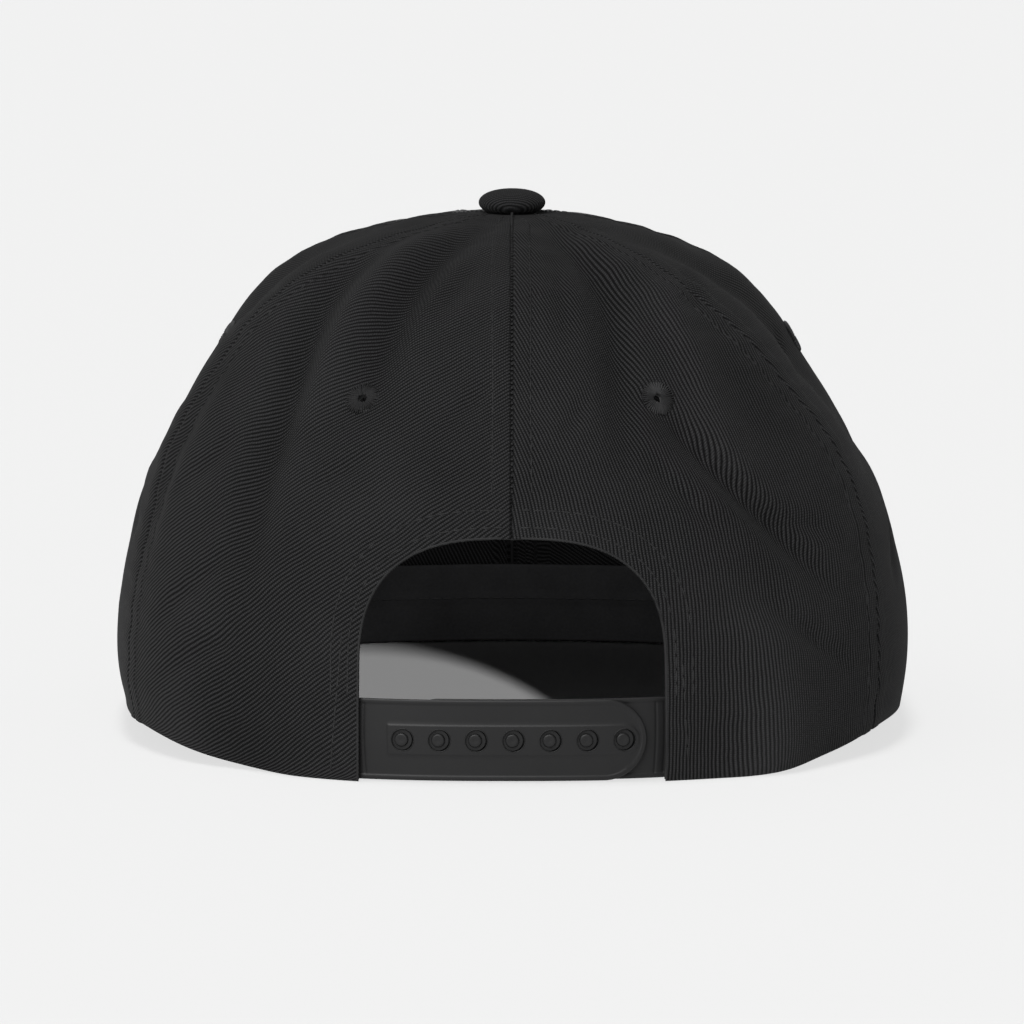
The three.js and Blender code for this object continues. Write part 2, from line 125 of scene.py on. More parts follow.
def makeGrain():  # fine grain with slow, faint patches
    tree, given, result = newGroup(
        "surfaceGrain",
        [("Vector", "Vector", None), ("Fine", "Float", 1800.0), ("Slow", "Float", 60.0)],
        [("Height", "Float"), ("Shade", "Float")],
    )
    fine = addNode(tree, "ShaderNodeTexNoise", {"Vector": given["Vector"], "Scale": given["Fine"], "Detail": 4.0})
    slow = addNode(tree, "ShaderNodeTexNoise", {"Vector": given["Vector"], "Scale": given["Slow"], "Detail": 3.0})
    tree.links.new(fine.outputs[0], result["Height"])
    half = calc(tree, "MULTIPLY", fine.outputs[0], 0.4)
    tree.links.new(calc(tree, "MULTIPLY_ADD", slow.outputs[0], 0.6, half), result["Shade"])
    return tree


def placeGroup(tree, group, **values):
    node = tree.nodes.new("ShaderNodeGroup")
    node.node_tree = group
    for key, value in values.items():
        if isinstance(value, bpy.types.NodeSocket):
            tree.links.new(value, node.inputs[key])
        else:
            node.inputs[key].default_value = value
    return node.outputs


def newMaterial(name):
    material = bpy.data.materials.new(name)
    material.use_nodes = True
    tree = material.node_tree
    return material, tree, tree.nodes["Principled BSDF"]


def ramp(tree, value, stops):
    node = addNode(tree, "ShaderNodeValToRGB", {"Fac": value})
    elements = node.color_ramp.elements
    for element, (place, colour) in zip(elements, stops[:2]):
        element.position = place
        element.color = (*colour, 1)
    for place, colour in stops[2:]:
        elements.new(place).color = (*colour, 1)
    return node.outputs["Color"]


twillWeave = makeTwillWeave()
surfaceGrain = makeGrain()


def makeTwill():
    look = {
        "pitch": 0.0009, "wander": 0.0024, "dark": (0.0012, 0.0012, 0.0013), "light": (0.036, 0.036, 0.037),
        # valley: how much painted shade darkens the colour per mm of fold depth
        "bump": 0.75, "depth": 0.0002, "valley": -0.035, "roughness": 0.93, "sheen": 0.02, "specular": 0.12,
    }
    material, tree, shader = newMaterial("blackTwill")
    cloth = addNode(tree, "ShaderNodeUVMap", uv_map="cloth").outputs["UV"]
    weave = placeGroup(tree, twillWeave, Vector=cloth, Pitch=look["pitch"], Wander=look["wander"])
    # Painted shade: the foldDepth attribute darkens the cloth's colour in the fold and crease valleys
    depth = addNode(tree, "ShaderNodeAttribute", attribute_name="foldDepth").outputs["Fac"]
    toneAndPaintedShade = calc(tree, "MULTIPLY_ADD", depth, look["valley"], weave["Shade"])  # painted shade: the fold valleys are darkened in the colour
    colour = ramp(tree, toneAndPaintedShade, [(0.2, look["dark"]), (0.95, look["light"])])
    bump = addNode(
        tree, "ShaderNodeBump",
        {"Strength": look["bump"], "Distance": look["depth"], "Height": weave["Height"]},
    )
    tree.links.new(colour, shader.inputs["Base Color"])
    tree.links.new(bump.outputs[0], shader.inputs["Normal"])
    shader.inputs["Roughness"].default_value = look["roughness"]
    shader.inputs["Sheen Weight"].default_value = look["sheen"]
    shader.inputs["Sheen Roughness"].default_value = 0.4
    shader.inputs["Specular IOR Level"].default_value = look["specular"]
    return material


def makeGrained(name, look):  # thread, band cloth and moulded plastic differ in their numbers only
    material, tree, shader = newMaterial(name)
    where = addNode(tree, "ShaderNodeTexCoord").outputs["Object"]
    grain = placeGroup(tree, surfaceGrain, Vector=where, Fine=look["fine"], Slow=look["slow"])
    colour = ramp(tree, grain["Shade"], [(0.3, look["dark"]), (0.7, look["light"])])
    bump = addNode(
        tree, "ShaderNodeBump",
        {"Strength": look["bump"], "Distance": look["depth"], "Height": grain["Height"]},
    )
    rough = calc(tree, "MULTIPLY_ADD", grain["Shade"], 0.14, look["roughness"] - 0.07)
    tree.links.new(colour, shader.inputs["Base Color"])
    tree.links.new(rough, shader.inputs["Roughness"])
    tree.links.new(bump.outputs[0], shader.inputs["Normal"])
    shader.inputs["Specular IOR Level"].default_value = look["specular"]
    return material


blackTwill = makeTwill()
blackThread = makeGrained("blackThread", {
    "fine": 2400.0, "slow": 90.0, "dark": (0.006, 0.006, 0.0062), "light": (0.017, 0.017, 0.0174),
    "bump": 0.4, "depth": 0.0001, "roughness": 0.72, "specular": 0.25,
})
satinThread = makeGrained("satinThread", {
    "fine": 2400.0, "slow": 200.0, "dark": (0.012, 0.012, 0.0123), "light": (0.04, 0.04, 0.041),
    "bump": 0.5, "depth": 0.0001, "roughness": 0.6, "specular": 0.3,
})
blackBand = makeGrained("blackBand", {
    "fine": 1500.0, "slow": 70.0, "dark": (0.009, 0.009, 0.0095), "light": (0.02, 0.02, 0.021),
    "bump": 0.5, "depth": 0.00015, "roughness": 0.9, "specular": 0.2,
})
blackPlastic = makeGrained("blackPlastic", {
    "fine": 1300.0, "slow": 45.0, "dark": (0.0052, 0.0052, 0.0054), "light": (0.0074, 0.0074, 0.0077),
    "bump": 0.12, "depth": 0.00008, "roughness": 0.5, "specular": 0.3,
})
print("materials done")

# The crown's form is in millimetres about its own middle.
# Angles are degrees: 0 at the centre back, 90 at the right and 180 at the centre front.
crown = {
    "height": 119.2, "width": 188.0, "backReach": 98.0, "frontReach": 104.0, "hole": 4.0,
    "thickness": 1.6, "frontThickness": 2.2, "fitGap": 0.3,
    "frontSeam": 118.0, "cornerSpread": 15.0,
    "restAngle": 30.0, "standAngle": 62.0, "sideArch": 1.2, "sideArchAngle": 72.0, "sideArchSpread": 18.0,
}
brim = {
    "projection": 68.0, "width": 183.0, "thickness": 3.6, "arch": 2.0, "start": 26.0, "power": 2.3,
    "columns": 150, "rows": 40, "edge": 1.3, "taper": 16.0,
    "stitchRows": 8, "firstRow": 4.5, "rowPitch": 6.6,
}
sectionNames = ["height", "left", "right", "back", "front", "square", "corner", "leftSeam", "rightSeam"]
sectionTable = np.array([
    [0.000, 0.976, 0.980, 1.000, 1.000, 2.50, 0.000, 65, 58],
    [0.090, 0.996, 0.998, 1.002, 1.000, 2.46, 0.002, 65, 58],
    [0.200, 0.988, 0.992, 1.000, 0.998, 2.38, 0.006, 65.5, 59],
    [0.310, 0.966, 0.968, 0.990, 0.992, 2.28, 0.012, 66.5, 60.5],
    [0.415, 0.930, 0.930, 0.972, 0.980, 2.20, 0.020, 67.5, 62],
    [0.515, 0.880, 0.866, 0.940, 0.960, 2.15, 0.032, 69, 63],
    [0.610, 0.818, 0.798, 0.893, 0.926, 2.10, 0.044, 69, 61.5],
    [0.703, 0.744, 0.720, 0.828, 0.872, 2.06, 0.052, 68, 58],
    [0.795, 0.674, 0.648, 0.738, 0.786, 2.03, 0.050, 65, 53],
    [0.877, 0.576, 0.544, 0.618, 0.660, 2.00, 0.038, 61, 49],
    [0.938, 0.430, 0.384, 0.458, 0.476, 2.00, 0.022, 59, 48],
    [0.977, 0.246, 0.218, 0.274, 0.270, 2.00, 0.010, 58, 49],
    [0.996, 0.096, 0.086, 0.110, 0.108, 2.00, 0.000, 59, 52],
    [1.000, 0.000, 0.000, 0.000, 0.000, 2.00, 0.000, 60, 55],
])
foldNames = ["lowAngle", "lowRise", "highAngle", "highRise", "width", "depth"]  # widths as shares of the crown's
foldTable = [
    [-40, 0.22, -49, 0.78, 0.040, 0.017],
    [-27, 0.50, -24, 0.94, 0.036, 0.015],
    [-37, 0.48, -38, 0.92, 0.036, -0.011],
    [-66, 0.20, -66, 0.62, 0.030, 0.008],
    [-86, 0.36, -88, 0.82, 0.062, 0.016],
    [19, 0.42, 27, 0.90, 0.036, 0.012],
    [50, 0.22, 26, 0.56, 0.032, 0.013],
    [40, 0.40, 38, 0.86, 0.038, -0.008],
    [82, 0.40, 72, 0.86, 0.060, 0.016],
    [36, -0.20, 38, 0.24, 0.070, -0.014],
    [-38, -0.20, -38, 0.26, 0.090, 0.014],
]
creases = [  # smaller ones, which only the looks have: angles and rises of both ends, half breadth and depth in mm
    [-58, 0.16, -44, 0.30, 3.2, 0.8], [-55, 0.10, -40, 0.20, 2.6, 0.6], [-62, 0.34, -50, 0.46, 3.0, 0.6],
    [-20, 0.62, -8, 0.80, 4.0, 0.8], [-12, 0.50, -3, 0.58, 2.6, 0.4], [-33, 0.40, -22, 0.47, 2.6, 0.5],
    [52, 0.12, 36, 0.24, 3.0, 0.8], [55, 0.30, 40, 0.36, 2.8, 0.6], [12, 0.62, 20, 0.84, 3.6, 0.6],
    [33, 0.34, 22, 0.46, 2.6, 0.5], [8, 0.48, 16, 0.56, 2.6, 0.4], [46, 0.66, 58, 0.74, 3.4, 0.6],
    [-74, 0.26, -92, 0.36, 4.0, 0.8], [-80, 0.60, -70, 0.72, 3.6, 0.7], [-96, 0.14, -80, 0.20, 3.4, 0.6],
    [70, 0.20, 90, 0.32, 4.0, 0.8], [66, 0.52, 84, 0.60, 3.4, 0.6], [100, 0.34, 84, 0.46, 4.0, 0.7],
]
halfWidth = crown["width"] / 2
brimAngle = 90 + math.degrees(math.asin(brim["start"] / crown["frontReach"]))


def smoothColumn(name, rise):
    column = sectionTable[:, sectionNames.index(name)]
    last = len(column) - 1
    place = np.clip(rise, 0, 1) * last
    index = np.minimum(place.astype(int), last - 1)
    part = place - index
    start, end = column[index], column[index + 1]
    startSlope = (end - column[np.maximum(index - 1, 0)]) / 2
    endSlope = (column[np.minimum(index + 2, last)] - start) / 2
    square, cube = part ** 2, part ** 3
    return (start * (2 * cube - 3 * square + 1) + startSlope * (cube - 2 * square + part)
            + end * (3 * square - 2 * cube) + endSlope * (cube - square))


def smoothStep(value, low, high):
    share = np.clip((value - low) / (high - low), 0, 1)
    return share * share * (3 - 2 * share)


def brimTop(x):
    return brim["arch"] * (1 - (x / (brim["width"] / 2)) ** 2) + brim["thickness"]


def rimLift(angle):
    off = np.abs(angle)
    turn = np.radians(np.maximum(off, crown["standAngle"]))
    x = np.minimum(halfWidth * np.sin(turn), brim["width"] / 2)
    away = (off - crown["sideArchAngle"]) / crown["sideArchSpread"]
    stand = smoothStep(off, crown["restAngle"], crown["standAngle"]) * (brimTop(x) + crown["fitGap"])
    return stand + crown["sideArch"] * np.exp(-away * away)


def seamAngles(rise):
    front = np.full_like(rise, crown["frontSeam"])
    return {
        "left": -smoothColumn("leftSeam", rise), "right": smoothColumn("rightSeam", rise),
        "frontLeft": -front, "frontRight": front, "back": 0 * front, "front": 0 * front + 180,
    }


def plainPoint(angle, rise):
    angle, rise = np.broadcast_arrays(np.asarray(angle, float), np.asarray(rise, float))
    section = {name: smoothColumn(name, rise) for name in sectionNames}
    across, along = np.sin(np.radians(angle)), -np.cos(np.radians(angle))
    reach = np.where(along < 0, crown["backReach"], crown["frontReach"])
    share = np.where(along < 0, section["back"], section["front"])
    side = np.where(across < 0, section["left"], section["right"])
    power = section["square"]
    full = (np.abs(across) ** power + np.abs(along) ** power) ** (-1 / power)
    seam = np.where(angle < 0, -section["leftSeam"], section["rightSeam"])
    rear = (angle - seam) / crown["cornerSpread"]
    front = (np.abs(angle) - crown["frontSeam"]) / crown["cornerSpread"]
    spread = full * (1 + section["corner"] * (np.exp(-rear * rear) + np.exp(-front * front)))
    lift = rimLift(angle)
    hole = crown["hole"]
    return np.stack([
        across * spread * (hole + (halfWidth - hole) * side),
        along * spread * (hole + (reach - hole) * share),
        lift + (crown["height"] - lift) * section["height"],
    ], -1)


def unit(vectors):
    return vectors / np.linalg.norm(vectors, axis=-1, keepdims=True)


def plainNormal(angle, rise):
    turn, step = 1.0, 0.002
    around = plainPoint(angle + turn, rise) - plainPoint(angle - turn, rise)
    up = plainPoint(angle, np.minimum(rise + step, 1)) - plainPoint(angle, np.maximum(rise - step, 0))
    return unit(np.cross(around, up))


def radiusAt(angle, rise):
    return np.linalg.norm(plainPoint(angle, rise)[..., :2], axis=-1)


def foldDepth(angle, rise):
    radius = radiusAt(angle, rise)
    depth = np.zeros_like(radius)
    for row in foldTable:
        fold = dict(zip(foldNames, row))
        along = (rise - fold["lowRise"]) / (fold["highRise"] - fold["lowRise"])
        inside = np.clip(along, 0, 1)
        middle = fold["lowAngle"] + (fold["highAngle"] - fold["lowAngle"]) * along
        off = np.radians(angle - middle) * radius / (fold["width"] * crown["width"])
        valley = (1 - 0.6 * off * off) * np.exp(-off * off)
        depth += fold["depth"] * crown["width"] * valley * np.sin(math.pi * inside) ** 0.8
    return depth


def creaseDepth(angle, rise):
    flat = np.stack([np.radians(angle) * radiusAt(angle, rise), 150 * rise], -1)
    depth = np.zeros(flat.shape[:-1])
    for lowAngle, lowRise, highAngle, highRise, breadth, deep in creases:
        ends = [np.array([math.radians(a) * float(radiusAt(a, r)), 150 * r])
                for a, r in ((lowAngle, lowRise), (highAngle, highRise))]
        run = ends[1] - ends[0]
        along = ((flat - ends[0]) @ run) / (run @ run)
        away = np.abs((flat[..., 0] - ends[0][0]) * run[1] - (flat[..., 1] - ends[0][1]) * run[0])
        away = away / np.linalg.norm(run) / breadth
        fade = np.sin(math.pi * np.clip(along, 0, 1))
        depth += deep * fade * (1 - 0.7 * away ** 2) * np.exp(-away ** 2)
    return depth


def seamDistance(angle, rise):
    radius = radiusAt(angle, rise)
    seams = seamAngles(rise)
    nearest = np.full_like(radius, 1000.0)
    for seam in list(seams.values()) + [-seams["front"]]:
        nearest = np.minimum(nearest, np.abs(np.radians(angle - seam)) * radius)
    return nearest


eyelets = {
    "rear_left": (-28.5, 0.54), "rear_right": (28.5, 0.54), "side_left": (-95, 0.57),
    "side_right": (92, 0.57), "front_left": (-150, 0.58), "front_right": (150, 0.58),
}
eyelet = {"outer": 4.1, "hole": 1.0, "stand": 0.5, "strands": 42, "flat": 6.5}
seamLook = {
    "groove": 0.5, "backGroove": 1.2, "grooveWidth": 0.42, "ridge": 0.32, "ridgeEnd": 6.0, "stitch": 5.0, "pinch": 0.16,
    "pucker": 0.16, "puckerPitch": 7.5, "puckerReach": 11.0,
}


def clothRelief(angle, rise):  # how far the cloth stands out: seam ridges, puckers beside them and slow waves
    away = seamDistance(angle, rise)
    look = seamLook
    relief = look["ridge"] * (1 - smoothStep(away, look["stitch"] - 0.6, look["ridgeEnd"]))
    atBack = np.abs(np.radians(angle)) * radiusAt(angle, rise) < look["stitch"]
    groove = np.where(atBack, look["backGroove"], look["groove"])
    relief -= groove * np.exp(-(away / look["grooveWidth"]) ** 2)
    relief -= look["pinch"] * np.exp(-((away - look["stitch"]) / 0.5) ** 2)
    climb = 150 * rise
    ripple = np.sin(2 * math.pi * climb / look["puckerPitch"] + 2.1 * np.sin(climb / 9 + angle / 17))
    relief += look["pucker"] * ripple * np.exp(-((away - look["stitch"]) / look["puckerReach"]) ** 2)
    soft = 1 - 0.7 * smoothStep(np.abs(angle), crown["frontSeam"] - 10, crown["frontSeam"] + 4)
    around = np.radians(angle) * radiusAt(angle, rise)
    waves = (np.sin(around / 6.1 + 1.7 * np.sin(climb / 11)) * np.sin(climb / 8.3 + 1.3)
             + 0.8 * np.sin(around / 9.7 - climb / 7.1 + 0.6) * np.sin(climb / 17 + around / 31))
    near = smoothStep(radiusAt(angle, rise), 6, 24)  # flat under the button and round the eyelets
    for eyeletAngle, eyeletRise in eyelets.values():
        off = np.hypot(np.radians(angle - eyeletAngle) * radiusAt(angle, rise), 150 * (rise - eyeletRise))
        near = near * smoothStep(off, 0.5 * eyelet["flat"], 1.6 * eyelet["flat"])
    return near * (relief + soft * (0.24 * waves - 1.5 * creaseDepth(angle, rise)))


def clothPoint(angle, rise, lift=0.0):
    angle, rise = np.broadcast_arrays(np.asarray(angle, float), np.asarray(rise, float))
    out = clothRelief(angle, rise) + lift - foldDepth(angle, rise)
    plain = plainPoint(angle, rise)
    point = plain + plainNormal(angle, rise) * out[..., None]
    point[..., 2] = np.where(rise == 0, plain[..., 2], point[..., 2])
    return point


def clothNormal(angle, rise):
    turn, step = 1.5, 0.012
    around = clothPoint(angle + turn, rise) - clothPoint(angle - turn, rise)
    return unit(np.cross(around, clothPoint(angle, rise + step) - clothPoint(angle, rise - step)))


def solve(test, low, high):  # value where the test turns false, by halving
    low, high = np.array(low, float), np.array(high, float)
    for _ in range(26):
        middle = (low + high) / 2
        below = test(middle)
        low, high = np.where(below, middle, low), np.where(below, high, middle)
    return (low + high) / 2


def riseAt(angle, height):
    return solve(lambda rise: plainPoint(angle, rise)[..., 2] < height, np.zeros_like(angle), np.ones_like(angle))


def backPlace(x, height):  # angle and rise on the back wall
    x, height = np.broadcast_arrays(np.asarray(x, float), np.asarray(height, float))
    angle = solve(lambda turn: plainPoint(turn, riseAt(turn, height))[..., 0] < x, x * 0 - 88, x * 0 + 88)
    return angle, riseAt(angle, height)


def angleAcross(x):
    x = np.asarray(x, float)
    return solve(lambda turn: plainPoint(turn, 0 * turn)[..., 0] < x, x * 0 - 90, x * 0 + 90)


def wallPoint(angle, height, inset):
    angle, height, inset = np.broadcast_arrays(*(np.asarray(v, float) for v in (angle, height, inset)))
    rise = riseAt(angle, height)
    normal = plainNormal(angle, rise)
    normal[..., 2] = 0
    point = plainPoint(angle, rise) - unit(normal) * (inset + foldDepth(angle, rise))[..., None]
    point[..., 2] = height
    return point


def toMetres(points):
    return points * mm + crownCentre


def newObject(name, mesh, material):
    thing = bpy.data.objects.new(name, mesh)
    scene.collection.objects.link(thing)
    mesh.materials.clear()
    mesh.materials.append(material)
    return thing


def clothGrid(name, columns, rows, place, material):
    # a grid whose points are moved by place(across, up), both from 0 to 1, which gives points and flat places
    # in mm, and for the panels the depth of the folds
    bm = bmesh.new()
    bmesh.ops.create_grid(bm, x_segments=columns, y_segments=rows, size=1)
    mesh = bmeshMesh(name, bm)
    flat = np.empty(len(mesh.vertices) * 3)
    mesh.vertices.foreach_get("co", flat)
    share = (flat.reshape(-1, 3)[:, :2] + 1) / 2
    points, laid, *depth = place(share[:, 0], share[:, 1])
    mesh.vertices.foreach_set("co", toMetres(points).ravel())
    for values in depth:
        # painted shade: the fold depth is kept so that the twill colour can darken the fold valleys
        mesh.attributes.new("foldDepth", "FLOAT", "POINT").data.foreach_set("value", values)
    layer = mesh.uv_layers.new(name="cloth")
    corners = np.empty(len(mesh.loops), int)
    mesh.loops.foreach_get("vertex_index", corners)
    layer.data.foreach_set("uv", (laid * mm)[corners].ravel())
    mesh.update()
    return newObject(name, mesh, material)


def applyModifiers(thing):
    graph = bpy.context.evaluated_depsgraph_get()
    mesh = bpy.data.meshes.new_from_object(thing.evaluated_get(graph))
    thing.modifiers.clear()
    thing.data = mesh


def smoothMesh(thing, angle=38):
    thing.data.shade_smooth()
    thing.data.set_sharp_from_angle(angle=math.radians(angle))


def thicken(thing, thickness, offset=-1):
    wall = thing.modifiers.new("wall", "SOLIDIFY")
    wall.thickness = thickness * mm
    wall.offset = offset
    wall.use_even_offset = True


def cutWith(thing, bm):
    bmesh.ops.recalc_face_normals(bm, faces=bm.faces)
    cutter = bpy.data.objects.new("cutter", bmeshMesh("cutter", bm))
    scene.collection.objects.link(cutter)
    cut = thing.modifiers.new("cut", "BOOLEAN")
    cut.operation = "DIFFERENCE"
    cut.solver = "MANIFOLD"
    cut.object = cutter
    applyModifiers(thing)
    bpy.data.objects.remove(cutter)


def bmeshMesh(name, bm):
    mesh = bpy.data.meshes.new(name)
    bm.to_mesh(mesh)
    bm.free()
    return mesh


def joinTo(thing, extra):
    whole = bmesh.new()
    whole.from_mesh(thing.data)
    whole.from_mesh(extra)
    whole.to_mesh(thing.data)
    whole.free()
    bpy.data.meshes.remove(extra)


def axesMatrix(x, y, z, origin):
    matrix = Matrix.Identity(4)
    for column, vector in enumerate((x, y, z, origin)):
        matrix.col[column][:3] = vector
    return matrix


def finishPiece(thing, slot, *nodes):
    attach(thing, "root")
    if nodes:
        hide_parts(*nodes)


def fromBmesh(name, bm, material):
    return newObject(name, bmeshMesh(name, bm), material)


topStitch = {"pitch": 3.1, "length": 2.75, "width": 0.46, "height": 0.34, "sink": 0.02}


def makeStrand():  # small round thread along Z, one unit long and wide each way from its middle
    bm = bmesh.new()
    bmesh.ops.create_uvsphere(bm, u_segments=6, v_segments=5, radius=1)
    mesh = bmeshMesh("strand", bm)
    corners = np.array([corner.co for corner in mesh.vertices])
    faces = [list(face.vertices) for face in mesh.polygons]
    bpy.data.meshes.remove(mesh)
    return corners, faces


strandCorners, strandFaces = makeStrand()


def strandMesh(name, frames):  # one mesh of many strands; a frame has its three half axes and its middle, in metres
    placed = np.einsum("kai,na->kni", frames[:, :3], strandCorners) + frames[:, None, 3]
    count = len(strandCorners)
    faces = [[corner + count * index for corner in face] for index in range(len(frames)) for face in strandFaces]
    mesh = bpy.data.meshes.new(name)
    mesh.from_pydata(placed.reshape(-1, 3), [], faces)
    return mesh


def stitchFrames(points, normals, look=topStitch):
    along = np.concatenate([[0], np.cumsum(np.linalg.norm(np.diff(points, axis=0), axis=1))])
    count = max(int(along[-1] // look["pitch"]), 1)
    places = (np.arange(count) + 0.5) * along[-1] / count

    def trace(values, at):
        return np.stack([np.interp(at, along, values[:, axis]) for axis in range(3)], -1)

    centres = trace(points, places)
    tangents = unit(trace(points, places + look["length"] / 3) - trace(points, places - look["length"] / 3))
    sides = unit(np.cross(trace(normals, places), tangents))
    upright = np.cross(tangents, sides)
    return np.stack([
        sides * look["width"] / 2 * mm, upright * look["height"] / 2 * mm,
        tangents * look["length"] / 2 * mm, toMetres(centres - upright * look["sink"]),
    ], 1)


def makeStitches(name, rows, look=topStitch):
    mesh = strandMesh(name, np.concatenate([stitchFrames(points, normals, look) for points, normals in rows]))
    mesh.shade_smooth()
    finishPiece(newObject(name, mesh, blackThread), "thread")


arch = {"width": 68.8, "height": 54.8, "spring": 24.0, "power": 2.7, "steps": 60}


def archOutline(offset, low):  # x and height along the arch, a distance outside it, from the left foot to the right
    half = arch["width"] / 2 + offset
    turn = np.linspace(math.pi, 0, arch["steps"] * 2 + 1)
    across = np.sign(np.cos(turn)) * np.abs(np.cos(turn)) ** (2 / arch["power"])
    up = np.abs(np.sin(turn)) ** (2 / arch["power"])
    legs = np.linspace(low, arch["spring"], 24)[:-1]
    x = np.concatenate([legs * 0 - half, half * across, legs * 0 + half])
    top = arch["spring"] + (arch["height"] + offset - arch["spring"]) * up
    return x, np.concatenate([legs, top, legs[::-1]])


def archCutter():
    x, height = archOutline(0, -20.0)
    bm = bmesh.new()
    corners = [bm.verts.new((px * mm, crownCentre[1] - 0.16, pz * mm)) for px, pz in zip(x, height)]
    face = bm.faces.new(corners)
    pushed = bmesh.ops.extrude_face_region(bm, geom=[face])["geom"]
    moved = [item for item in pushed if isinstance(item, bmesh.types.BMVert)]
    bmesh.ops.translate(bm, verts=moved, vec=(0, 0.12, 0))
    bmesh.ops.holes_fill(bm, edges=bm.edges)
    return bm


panels = {  # edges, rib direction in degrees, columns
    "rear_left": {"edges": ("left", "back"), "rib": 36, "columns": 96, "arched": True},
    "rear_right": {"edges": ("back", "right"), "rib": 92, "columns": 92, "arched": True},
    "side_left": {"edges": ("frontLeft", "left"), "rib": 48, "columns": 72},
    "side_right": {"edges": ("right", "frontRight"), "rib": 100, "columns": 78},
    "front_left": {"edges": ("-front", "frontLeft"), "rib": 60, "columns": 84},
    "front_right": {"edges": ("frontRight", "front"), "rib": 30, "columns": 84},
}
panelRows = 132
seamColumns = np.array([0, 0.3, 0.65, 1.1, 1.8, 2.8, 3.7, 4.3, 4.65, 5.0, 5.35, 5.75, 6.4, 7.4])  # mm from a seam


def seamAngle(name, rise):
    sign = -1 if name.startswith("-") else 1
    return sign * seamAngles(rise)[name.lstrip("-")]


def panelPlace(panel):
    def place(across, up):
        first, last = (seamAngle(edge, up) for edge in panel["edges"])
        radius = radiusAt((first + last) / 2, up)
        width = np.radians(last - first) * radius
        near = len(seamColumns)
        index = across * panel["columns"]
        squeeze = np.minimum(1, width / (3 * seamColumns[-1]))
        counted = np.arange(near)
        left = np.interp(index, counted, seamColumns) * squeeze
        right = width - np.interp(panel["columns"] - index, counted, seamColumns) * squeeze
        middle = (index - near + 1) / (panel["columns"] - 2 * near + 2)
        edge = seamColumns[-1] * squeeze
        between = edge + (width - 2 * edge) * np.clip(middle, 0, 1)
        distance = np.where(index < near, left, np.where(index > panel["columns"] - near, right, between))
        angle = first + np.degrees(distance / radius)
        points = clothPoint(angle, up)
        # the fold and crease depth also paints shade into the colour of the valleys
        depth = foldDepth(angle, up) + creaseDepth(angle, up)
        bend = 0.7 * depth  # the ribs bend where the cloth does
        flatX = distance - width / 2 + bend
        flatY = 170 * up + bend
        turn = math.radians(panel["rib"])
        laid = np.stack([flatX * math.cos(turn) + flatY * math.sin(turn),
                         flatY * math.cos(turn) - flatX * math.sin(turn)], -1)
        return points, laid, depth
    return place


def makePanel(name, panel):
    thing = clothGrid("cloth_" + name, panel["columns"], panelRows, panelPlace(panel), blackTwill)
    thickness = crown["frontThickness"] if name.startswith("front") else crown["thickness"]
    thicken(thing, thickness)
    bm = archCutter() if panel.get("arched") else bmesh.new()
    angle, rise = eyelets[name]
    centre = toMetres(clothPoint(angle, rise))
    normal = clothNormal(angle, np.array(float(rise)))
    turn = Vector(normal).to_track_quat("Z", "Y").to_matrix().to_4x4()
    radius = (eyelet["outer"] - 0.5) * mm
    bmesh.ops.create_cone(
        bm, cap_ends=True, segments=40, radius1=radius, radius2=radius, depth=0.02,
        matrix=Matrix.Translation(centre) @ turn,
    )
    cutWith(thing, bm)
    smoothMesh(thing, 44)
    finishPiece(thing, "twill", "panel_" + name)


for name, panel in panels.items():
    makePanel(name, panel)
print("panels done")


def crownLine(angle, rise, lift=0.0):
    return clothPoint(angle, rise, lift), plainNormal(angle, rise)


def tubeAlong(name, points, radius, sides, material):
    curve = bpy.data.curves.new(name, "CURVE")
    curve.dimensions = "3D"
    curve.bevel_depth = radius * mm
    curve.bevel_resolution = sides
    curve.use_fill_caps = True
    spline = curve.splines.new("POLY")
    spline.points.add(len(points) - 1)
    spline.points.foreach_set("co", np.column_stack([toMetres(points), np.ones(len(points))]).ravel())
    holder = bpy.data.objects.new(name, curve)
    scene.collection.objects.link(holder)
    graph = bpy.context.evaluated_depsgraph_get()
    mesh = bpy.data.meshes.new_from_object(holder.evaluated_get(graph))
    bpy.data.objects.remove(holder)
    thing = newObject(name, mesh, material)
    thing.data.shade_smooth()
    return thing


def makeSeamStitches():
    rows = []
    for name in ("back", "left", "right", "frontLeft", "frontRight", "front"):
        for side in (-1, 1):
            low = 0.405 if name == "back" else 0.02
            rise = np.linspace(low, 0.955, 260)
            seam = seamAngle(name, rise)
            away = seamLook["stitch"] * np.minimum(1, radiusAt(seam, rise) / 21)
            rows.append(crownLine(seam + side * np.degrees(away / radiusAt(seam, rise)), rise))
    makeStitches("seam_stitches", rows)


def makeSeamThreads():  # short threads that close each seam, down in its groove
    look = {"pitch": 1.25, "length": 0.62, "width": 0.8, "height": 0.4, "sink": 0.0, "cord": 0.5,
            "lift": 0.15, "backLift": 0.7}
    rows = []
    cords = fromBmesh("seam_cords", bmesh.new(), blackThread)
    for name in ("back", "left", "right", "frontLeft", "frontRight", "front"):
        rise = np.linspace(0.405 if name == "back" else 0.02, 0.97, 260)
        lift = look["backLift"] if name == "back" else look["lift"]
        rows.append(crownLine(seamAngle(name, rise), rise, lift))
        cord = tubeAlong(name, crownLine(seamAngle(name, rise), rise, -0.35)[0], look["cord"], 2, blackThread)
        joinTo(cords, cord.data)
    cords.data.shade_smooth()
    finishPiece(cords, "thread")
    makeStitches("seam_threads", rows, look)


def makeArchStitches():
    rows = []
    for offset in (2.5, 6.3):
        x, height = archOutline(offset, 19.0)
        rows.append(crownLine(*backPlace(x, height)))
    for foot, top in ((-41.0, -38.2), (39.8, 37.9)):
        height = np.linspace(1.5, 33, 60)
        x = foot + (top - foot) * (height / 33)
        rows.append(crownLine(*backPlace(x, height)))
    makeStitches("arch_stitches", rows)


